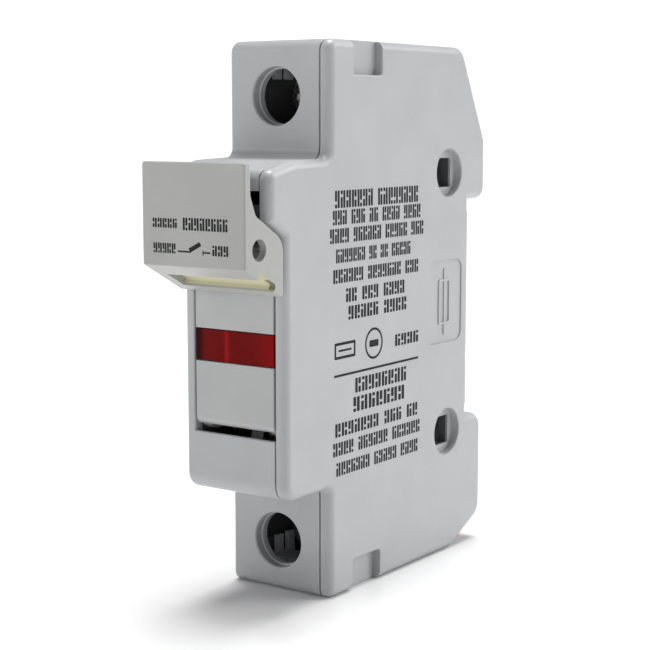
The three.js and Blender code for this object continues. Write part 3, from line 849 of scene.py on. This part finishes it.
# ---- fuse carrier and lever
def drawer():
    """The carrier: two face plates, side walls, a cradle for the fuse and a web behind the lever."""
    left, right = CARRIER_X
    inner = 5.35
    walls = [(left, FUSE_X - inner), (FUSE_X + inner, right)]
    web = (-5, 4.6)
    lower_face = outline([
        (0, CARRIER_LOW, 1.2), (0, WINDOW_LOW, 0.15),
        (CARRIER_FACE, WINDOW_LOW), (CARRIER_FACE, CARRIER_LOW, 0.4),
    ])
    upper_face = outline([
        (0, WINDOW_HIGH, 0.15), (0, FACE_TOP, 0.2), (CARRIER_FACE, FACE_TOP), (CARRIER_FACE, WINDOW_HIGH),
    ])
    side_wall = outline([(2.4, CARRIER_LOW, 0.5), (9.6, 29.4, 1), (9.6, 45, 1), (2.4, 46.5)])
    body = prism("x", lower_face, left, right, 0.15)
    join(
        body,
        prism("x", upper_face, left, right, 0.15),
        *[prism("x", side_wall, *wall) for wall in walls],
        *[block(wall, (1.5, 2.6), (CARRIER_LOW + 0.2, WINDOW_LOW)) for wall in walls],
        *[block(wall, (1.5, 2.6), (WINDOW_HIGH, 46.4)) for wall in walls],
        block((left, right), (6, 14.8), (31, 43), 0.2, 0.5),  # cradle of the fuse
        *[prism("x", disc(PIVOT_Y, PIVOT_Z, 2.4, 40), *wall, 0.1) for wall in walls],
        block(web, (1.5, 5.6), (50.8, FACE_TOP)),
        block(web, (4.4, 5.6), (50.81, 57.6)),
        block(web, (4.41, 9), (56.7, 57.59)),
    )
    return cut(
        body,
        prism("z", disc(FUSE_X, FUSE_Y, TUBE_RADIUS + 0.3, 56), 30, 44),
        block((FUSE_X - 3.9, FUSE_X + 3.9), (FUSE_Y, 16), (30, 44)),
        block((-5.1, 4.7), (2.4, FUSE_Y - 3), (30, 44)),
        prism("x", disc(PIVOT_Y, PIVOT_Z, PIN_BORE, 32), -8, 8),
    )


def pull_lever():
    """A channel with two cheeks, open at the back, with a seal hole and a finger groove."""
    front = LEVER_FRONT + INK
    cheek = outline([
        (front, LEVER_LOW, 0.3), (LEVER_REAR, 45.3, 0.5), (LEVER_REAR, 53.4, 3),
        (-6.4, 56.9, 1.6), (-7.5, 59.6, 1.5), (LEVER_BACK, LEVER_HIGH, 0.3), (front, LEVER_HIGH, 0.4),
    ])
    lever = prism("x", cheek, -HALF_WIDTH, HALF_WIDTH, 0.28)
    pocket = outline([
        (LEVER_BACK, 66), (LEVER_BACK, 52.6, 1.2), (-1.6, 49.2, 0.8), (-1.6, 51.6, 0.2), (1, 51.6), (1, 66),
    ])
    groove = outline([(-6.2, 47.4), (-5.9, 49.4, 0.3), (-2.2, 47.4, 0.3), (-3, 45.6)], steps=3)
    return cut(
        lever,
        prism("x", pocket, CHEEK - HALF_WIDTH, HALF_WIDTH - CHEEK),
        prism("x", disc(-5.85, 52.3, 1.5, 40), -HALF_WIDTH - 1, HALF_WIDTH + 1),
        prism("x", groove, -7, HALF_WIDTH + 1),
    )


def lens():
    """The window, hollow behind its face."""
    low, high = span("indicator_lens", "z")
    front, back = span("indicator_lens", "y")
    left, right = span("indicator_lens", "x")
    face = rectangle((low, high), (left, right), 0.15, steps=2)
    plate = loft("y", face, rounded(front, back, 0.15, 0.05, steps=2))
    pocket = rectangle((low + 0.7, high - 0.7), (left + 0.8, right - 0.8), 0.3, steps=3)
    return cut(plate, loft("y", pocket, [(front + 1.05, 0), (back + 1, 0)]))


settle(drawer(), "drawer", "carrier", "carrier_plastic", CARRIER, "fuse_carrier")
settle(pull_lever(), "pull_lever", "carrier", "lever_plastic", LEVER, "lever_handle")
settle(lens(), "window", "carrier", "red_lens", LENS, "indicator_lens")


# ---- wires and coils
def smooth_path(points, steps=6):
    """A Catmull-Rom curve through the points."""
    points = [Vector(p) for p in points]
    padded = [2 * points[0] - points[1], *points, 2 * points[-1] - points[-2]]
    path = []
    for p0, p1, p2, p3 in zip(padded, padded[1:], padded[2:], padded[3:]):
        for k in range(steps):
            t = k / steps
            path.append(0.5 * (2 * p1 + (p2 - p0) * t + (2 * p0 - 5 * p1 + 4 * p2 - p3) * t * t
                               + (3 * p1 - p0 - 3 * p2 + p3) * t ** 3))
    return [*path, points[-1]]


def wire(path, radius, sides=10):
    """A round wire along a path, with its section carried along without twist."""
    rings = []
    across = (path[1] - path[0]).orthogonal().normalized()
    for i, point in enumerate(path):
        along = (path[min(i + 1, len(path) - 1)] - path[max(i - 1, 0)]).normalized()
        across = (across - along * across.dot(along)).normalized()
        other = along.cross(across)
        turns = [2 * math.pi * k / sides for k in range(sides)]
        rings.append([point + (across * math.cos(t) + other * math.sin(t)) * radius for t in turns])
    return skin(rings)


def coil(x, y, low, high, radius, thick, turns):
    """A compression spring whose end turns lie flat."""
    per_turn = 20
    flat = 0.9
    path = []
    for i in range(int(turns * per_turn) + 1):
        turn = i / per_turn
        rise = min(max((turn - flat) / (turns - 2 * flat), 0), 1)
        closed = (min(turn, flat) + max(turn - (turns - flat), 0)) * thick * 1.06
        free = high - low - thick - 2 * flat * thick * 1.06
        angle = 2 * math.pi * turn
        z = low + thick / 2 + closed + rise * free
        path.append(Vector((x + radius * math.cos(angle), y + radius * math.sin(angle), z)))
    return wire(path, thick / 2)


# ---- the fuse
def fuse_cap(end, inward):
    """A pressed cap with a rolled edge and a crimp; inward is the way from its end to the fuse's middle."""
    profile = [
        (0, 4.5), (0.1, 4.8), (0.35, 5.05), (0.7, CAP_RADIUS), (7.9, CAP_RADIUS), (8.15, 5.02), (8.5, 5.02),
        (8.75, CAP_RADIUS), (CAP_LENGTH - 0.1, CAP_RADIUS), (CAP_LENGTH, CAP_RADIUS - 0.08),
    ]
    bore = (end + inward * 0.45, end + inward * (CAP_LENGTH + 1))
    cap = turned("z", FUSE_X, FUSE_Y, sorted((end + inward * d, r) for d, r in profile))
    return cut(cap, prism("z", disc(FUSE_X, FUSE_Y, 4.93), *sorted(bore)))


def fuse_tube():
    low, high = span("fuse_tube", "z")
    body = turned("z", FUSE_X, FUSE_Y, chamfered(low, high, TUBE_RADIUS, 0.3))
    return cut(body, prism("z", disc(FUSE_X, FUSE_Y, 2.2, 32), low - 1, high + 1))


def band(axis, a, b, start, radius, sides=48):
    """A printed ring round a cylinder."""
    width = 0.4
    ring = turned(axis, a, b, [(start, radius + INK), (start + width, radius + INK)], sides)
    return cut(ring, prism(axis, disc(a, b, radius - INK, sides), start - 1, start + 1))


def fuse_bands():
    return merged(*[band("z", FUSE_X, FUSE_Y, z, TUBE_RADIUS) for z in (33.2, 41.0)])


settle(fuse_tube(), "ceramic_body", "carrier", "ceramic_tube", CERAMIC, "fuse_tube")
settle(fuse_bands(), "ceramic_bands", "carrier", "ceramic_tube", INK_BLACK)
settle(fuse_cap(FUSE_LOW, 1), "end_cap_lower", "carrier", "nickel_plate", NICKEL, "fuse_cap_lower")
settle(fuse_cap(FUSE_HIGH, -1), "end_cap_upper", "carrier", "nickel_plate", NICKEL, "fuse_cap_upper")
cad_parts["fuse_element"].material_slots[0].material = COPPER

# ---- indicator
LAMP_Y = 4.1
LAMP_Z = (WINDOW_LOW + WINDOW_HIGH) / 2
RESISTOR_Z = 32.6
COLLAR_RADIUS = 1.1
WAIST_RADIUS = 0.9
LAMP_X = span("indicator_lamp", "x")
RESISTOR_X = span("indicator_resistor", "x")
LEAF_X = span("lamp_contact_upper", "x")
LEAF = 0.35  # thickness of the two leaf springs
LEAD_RADIUS = 0.22


def dome(start, end, radius, tip):
    """Stations and radii of a round body whose ends are domed down to a tip radius."""
    profile = []
    for t in quarter(5):
        profile.append((start + radius * 0.5 * (1 - math.cos(t)), tip + (radius - tip) * math.sin(t)))
    return profile + [(start + end - position, r) for position, r in reversed(profile)]


def lamp():
    return turned("x", LAMP_Y, LAMP_Z, dome(*LAMP_X, 1.45, 0.3), sides=32)


def lamp_electrodes():
    """Two rods side by side in the lamp."""
    rods = [
        turned("x", LAMP_Y + offset, LAMP_Z, [(start, LEAD_RADIUS), (end, LEAD_RADIUS)], sides=12)
        for offset, start, end in ((0.45, LAMP_X[0] + 0.8, 1.4), (-0.45, -1.8, LAMP_X[1] - 0.8))
    ]
    return merged(*rods)


def resistor():
    """A body with a thicker collar at each end."""
    left, right = RESISTOR_X
    return turned("x", LAMP_Y, RESISTOR_Z, [
        (left, 0.5), (left + 0.25, 0.95), (left + 0.6, COLLAR_RADIUS),
        (left + 1.4, COLLAR_RADIUS), (left + 1.8, WAIST_RADIUS),
        (right - 1.8, WAIST_RADIUS), (right - 1.4, COLLAR_RADIUS),
        (right - 0.6, COLLAR_RADIUS), (right - 0.25, 0.95), (right, 0.5),
    ], sides=28)


def resistor_bands():
    """Four colour rings, each on the radius of the body below it."""
    left, right = RESISTOR_X
    places = {left + 0.8: COLLAR_RADIUS, -0.8: WAIST_RADIUS, 0.4: WAIST_RADIUS, right - 1.1: COLLAR_RADIUS}
    return merged(*[band("x", LAMP_Y, RESISTOR_Z, x, radius, 28) for x, radius in places.items()])


def lead_wires():
    """Lamp to the upper contact, lamp to resistor, resistor to the lower contact."""
    left, right = LAMP_X[0] + 0.2, LAMP_X[1] - 0.2
    bottom = span("lamp_contact_lower", "z")[1]
    near, far = RESISTOR_X
    weld_x = LEAF_X[0] + 0.8
    routes = [
        [
            (left, LAMP_Y, LAMP_Z), (left - 0.9, LAMP_Y, LAMP_Z + 0.2), (left - 0.9, 3.9, 40.2),
            (-2.6, 3.5, 41.5), (weld_x, 3.25, 41.8),
        ],
        [
            (right, LAMP_Y, LAMP_Z), (right + 0.9, LAMP_Y, LAMP_Z - 0.3), (right + 1.0, LAMP_Y, 35.2),
            (far + 0.8, LAMP_Y, RESISTOR_Z + 0.3), (far - 0.1, LAMP_Y, RESISTOR_Z),
        ],
        [
            (near + 0.1, LAMP_Y, RESISTOR_Z), (near - 0.7, LAMP_Y, RESISTOR_Z - 0.2),
            (near - 0.5, 4.3, bottom + 0.3), (-2.4, 4.5, bottom - 0.2), (weld_x, 4.4, bottom - 0.5),
        ],
    ]
    return merged(*[wire(smooth_path(route), LEAD_RADIUS) for route in routes])


def leaf_spring(line):
    """A bent strip that touches the fuse cap; its line is in (y, z)."""
    return prism("x", strip(line, LEAF, 0.8), *LEAF_X, 0.08)


UPPER_LEAF = [(3.6, 41.2), (3.6, 44.6), (5.75, 48.6), (5.3, 50.4)]
LOWER_LEAF = [(4.7, 30.8), (5, 28.4), (5.72, 25.4), (5.3, 23.6)]
settle(lamp(), "glow_lamp", "carrier", "lamp_glass", LAMP_GLASS, "indicator_lamp")
settle(lamp_electrodes(), "glow_lamp_electrodes", "carrier", "nickel_plate", NICKEL)
settle(resistor(), "resistor", "carrier", "resistor_body", LACQUER, "indicator_resistor")
settle(resistor_bands(), "resistor_bands", "carrier", "resistor_body", BAND_BROWN)
settle(lead_wires(), "lead_wires", "carrier", "nickel_plate", NICKEL)
settle(leaf_spring(UPPER_LEAF), "leaf_upper", "carrier", "nickel_plate", DULL_NICKEL, "lamp_contact_upper")
settle(leaf_spring(LOWER_LEAF), "leaf_lower", "carrier", "nickel_plate", DULL_NICKEL, "lamp_contact_lower")


# ---- contacts
def contact(base, jaw, bend):
    """A bent terminal bar with a base and two springy leaves that grip the fuse cap."""
    half_plate = 6.15
    half_bar = 3.6
    half_thick = BAR_THICK / 2
    bar = prism("x", strip(bend, BAR_THICK, 0.6), TERMINAL_X - half_bar, TERMINAL_X + half_bar, 0.12)
    leaves = []
    for side in (-1, 1):
        grip, tip = FUSE_X + side * 5.8, FUSE_X + side * 6.4
        leaves.append(prism("z", strip([(grip, base), (grip, 10.4), (tip, 8.1)], 0.7, 1.2), *jaw, 0.12))
    across = (FUSE_X - half_plate, FUSE_X + half_plate)
    plate = block(across, (base - half_thick, base + half_thick), jaw, 0.12)
    return join(bar, plate, *leaves)


def jaw_spring(base, heights):
    """A steel clip round the jaws, bent from strip."""
    reach = 6.6
    left, right = FUSE_X - reach, FUSE_X + reach
    line = [(left, 11), (left, base), (right, base), (right, 11)]
    return prism("z", strip(line, 0.45, 0.6), *heights, 0.08)


UPPER_BASE = 18.6
LOWER_BASE = 20.9
UPPER_BEND = [(UPPER_BASE, 48), (UPPER_BASE, 65), (BAR_MID, 65), (BAR_MID, TERMINAL_Z["upper"] + 3.8)]
LOWER_BEND = [(LOWER_BASE, 26.6), (LOWER_BASE, 15.5), (BAR_MID, 15.5), (BAR_MID, TERMINAL_Z["lower"] - 3.8)]
for end, base, jaw, bend, heights in (
    ("upper", UPPER_BASE, (47.4, 55.6), UPPER_BEND, (49, 54)),
    ("lower", LOWER_BASE, (19, 27.2), LOWER_BEND, (20.6, 25.6)),
):
    settle(contact(base, jaw, bend), f"jaw_{end}", "housing", "silvered_copper", COPPER, f"{end}_contact")
    clip = jaw_spring(base + 1.2, heights)
    settle(clip, f"jaw_clip_{end}", "housing", "steel", STEEL, f"{end}_jaw_spring")


# ---- screw terminals
HEAD_FRONT, SCREW_TIP = span("upper_terminal_screw", "y")
HEAD_BACK = 21.1
HEAD_RADIUS = 3.1
SHANK_RADIUS = 2.4
PITCH = 0.8


def thread(z, start, end, sides=24, per_turn=6):
    """A right-hand V thread as one skin, chamfered at its tip."""
    steps = round((end - start) / PITCH * per_turn)
    rings = []
    for i in range(steps + 1):
        y = start + (end - start) * i / steps
        chamfer = 0.4 * max(0, 1 - (steps - i) / per_turn)
        ring = []
        for k in range(sides):
            turn = k / sides
            groove = abs(2 * ((y / PITCH - turn) % 1.0) - 1)
            radius = SHANK_RADIUS - 0.35 * groove - chamfer
            angle = 2 * math.pi * turn
            ring.append(Vector((TERMINAL_X + radius * math.sin(angle), y, z + radius * math.cos(angle))))
        rings.append(ring)
    return skin(rings)


def terminal_screw(z):
    """A screw with a combined slot and cross recess."""
    head = turned("y", z, TERMINAL_X, [
        (HEAD_FRONT, HEAD_RADIUS - 0.35),
        (HEAD_FRONT + 0.12, HEAD_RADIUS - 0.12),
        (HEAD_FRONT + 0.35, HEAD_RADIUS),
        (HEAD_BACK - 0.2, HEAD_RADIUS),
        (HEAD_BACK, HEAD_RADIUS - 0.2),
    ])
    join(head, thread(z, HEAD_BACK - 0.5, SCREW_TIP))
    slot = (HEAD_FRONT - 1, HEAD_FRONT + 1.3)
    return cut(
        head,
        block((TERMINAL_X - 0.55, TERMINAL_X + 0.55), slot, (z - 4, z + 4)),
        block((TERMINAL_X - 1.9, TERMINAL_X + 1.9), slot, (z - 0.5, z + 0.5)),
    )


def terminal_cage(z):
    """A steel strip bent into a box round the wire and the bar, with the screw's hole in its front."""
    x = span("upper_terminal_cage", "x")
    y = span("upper_terminal_cage", "y")
    height = 4
    body = prism("z", rectangle(x, y, 1.1), z - height, z + height, 0.2)
    inside = rectangle((x[0] + 1, x[1] - 1), (y[0] + 2, y[1] - 1.2), 0.4, steps=4)
    grip = [
        prism("z", disc(TERMINAL_X + step, y[1] - 1.2, 0.12, 8), z - 3.5, z + 3.5)
        for step in (-2, -1, 0, 1, 2)
    ]
    cut(body, prism("z", inside, z - 5, z + 5), *grip)
    return cut(body, loft("y", disc(z, TERMINAL_X, SHANK_RADIUS + 0.2), mouth(y[0] + 3, y[0], 0.2)))


def screw_keeper(z, out, reach):
    """A bent clip that holds the screw's head; out is the way from the screw to the object's end."""
    plate = (-6.85, -6.05)

    def level(a, b):
        """Two heights, measured from the screw's axis towards the object's end."""
        return tuple(sorted((z + out * a, z + out * b)))

    return join(
        block(plate, (17.8, 22.4), level(4.4, 5.9), 0.1, 0.15),
        block(plate, (17.8, 19.4), level(reach, 4.7), 0.1, 0.15),
        block(plate, (20.6, 22.2), level(reach, 4.7), 0.1, 0.15),
        block((-6.2, 4.6), (17.8, 22.4), level(5.1, 5.9), 0.1, 0.15),
    )


for end, out, reach in (("upper", 1, 2.6), ("lower", -1, 1.8)):
    z = TERMINAL_Z[end]
    screw = settle(terminal_screw(z), f"clamp_screw_{end}", f"{end}_screw", "nickel_plate", NICKEL)
    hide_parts(f"{end}_terminal_screw")
    cage = settle(terminal_cage(z), f"clamp_cage_{end}", f"{end}_cage", "nickel_plate", NICKEL)
    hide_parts(f"{end}_terminal_cage")
    keeper = settle(screw_keeper(z, out, reach), f"keeper_{end}", "housing", "nickel_plate", PALE_ZINC)
    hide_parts(f"{end}_screw_keeper")


# ---- latch, its spring and the hinge pin
def rail_latch():
    """A slider with a nose over the rail, a foot with a tool slot and an arm over the spring."""
    body = outline([
        (50.4, 7.2), (50.4, 18.4, 0.3), (51.2, 19.2, 0.3), (51.2, 22.7, 0.3), (51.9, 22.7, 0.3),
        (52.6, 21.4, 0.4), (52.6, 0.6, 0.8), (47, 0.6, 0.6), (47, 3.6, 0.3), (50.4, 3.6, 0.5),
    ])
    latch = join(prism("x", body, *LATCH_X, 0.25), block((-3.2, 2.8), (41.6, 51), (7.2, 8.6), 0.2, 0.3))
    return cut(latch, block((-2.2, 1.8), (48.4, 50.2), (-1, 5)))


def hinge_pin():
    left, right = span("carrier_hinge_pin", "x")
    return turned("x", PIVOT_Y, PIVOT_Z, chamfered(left, right, PIN_RADIUS, 0.2), sides=32)


SPRING_LOW, SPRING_HIGH = span("latch_spring", "z")
settle(rail_latch(), "latch", "latch", "red_plastic", RED_PLASTIC, "rail_latch")
settle(hinge_pin(), "drawer_pin", "housing", "steel", STEEL, "carrier_hinge_pin")
spring = settle(
    coil(FUSE_X, SPRING_Y, SPRING_LOW, SPRING_HIGH, radius=1.65, thick=0.45, turns=4.8),
    "coil_spring", "housing", "steel", STEEL, "latch_spring",
)
spring.modifiers.clear()
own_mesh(spring)

# ---- camera, light and floor
CAMERA_AT = (133.486, -166.061, 69.619)  # in the housing frame, as everything else
AZIMUTH = math.radians(35.384)
TILT = math.radians(-7.664)
SENSOR_WIDTH = 36
FOCAL_LENGTH = 84.84
FLOOR_GAP = 0.03


def camera():
    data = bpy.data.cameras.new("camera")
    data.sensor_width = SENSOR_WIDTH
    data.lens = FOCAL_LENGTH
    data.clip_start = 0.01
    obj = bpy.data.objects.new("camera", data)
    bpy.context.scene.collection.objects.link(obj)
    obj.location = Vector(CAMERA_AT) * MM + ORIGIN
    level = math.cos(TILT)
    forward = Vector((-math.sin(AZIMUTH) * level, math.cos(AZIMUTH) * level, math.sin(TILT)))
    obj.rotation_euler = forward.to_track_quat("-Z", "Y").to_euler()
    bpy.context.scene.camera = obj


def sun(name, azimuth, elevation, strength, softness):
    """A far soft light; azimuth 0 is in front of the object, and it grows towards +X."""
    data = bpy.data.lights.new(name, "SUN")
    data.energy = strength
    data.angle = math.radians(softness)
    obj = bpy.data.objects.new(name, data)
    bpy.context.scene.collection.objects.link(obj)
    a, e = math.radians(azimuth), math.radians(elevation)
    towards = Vector((math.sin(a) * math.cos(e), -math.cos(a) * math.cos(e), math.sin(e)))
    obj.rotation_euler = towards.to_track_quat("Z", "Y").to_euler()


def surroundings():
    """A pale room: bright near the horizon, dimmer above."""
    world = bpy.data.worlds.new("studio")
    bpy.context.scene.world = world
    world.use_nodes = True
    tree = world.node_tree
    place = tree.nodes.new("ShaderNodeTexCoord").outputs["Generated"]
    split = tree.nodes.new("ShaderNodeSeparateXYZ")
    tree.links.new(place, split.inputs["Vector"])
    ramp = tree.nodes.new("ShaderNodeValToRGB")
    tree.links.new(split.outputs["Z"], ramp.inputs["Fac"])
    first, last = ramp.color_ramp.elements
    first.position, first.color = 0.09, (1, 1, 1, 1)
    last.position, last.color = 0.16, (0.18, 0.18, 0.185, 1)
    background = tree.nodes["Background"]
    tree.links.new(ramp.outputs["Color"], background.inputs["Color"])
    background.inputs["Strength"].default_value = 1.1


def floor():
    """A wide pale floor just under the object."""
    bm = bmesh.new()
    half = 6.0
    height = CAD_BOX[0][2] - FLOOR_GAP * MM
    corners = [(-half, -half), (half, -half), (half, half), (-half, half)]
    bm.faces.new([bm.verts.new((x, y, height)) for x, y in corners])
    obj = as_object(bm)
    obj.name = "floor"
    s = Shader("floor_white")
    tone = s.ramp(s.noise(60.0), (0.86, 0.86, 0.86), (0.88, 0.88, 0.88))
    obj.data.materials.append(s.set(Base_Color=tone, Roughness=0.3))


camera()
surroundings()
floor()
sun("top_light", 200, 80, 3.9, 30)
sun("side_light", 135, 30, 1.7, 40)
sun("front_light", -50, 15, 0.7, 30)
bpy.context.scene.view_settings.view_transform = "Standard"
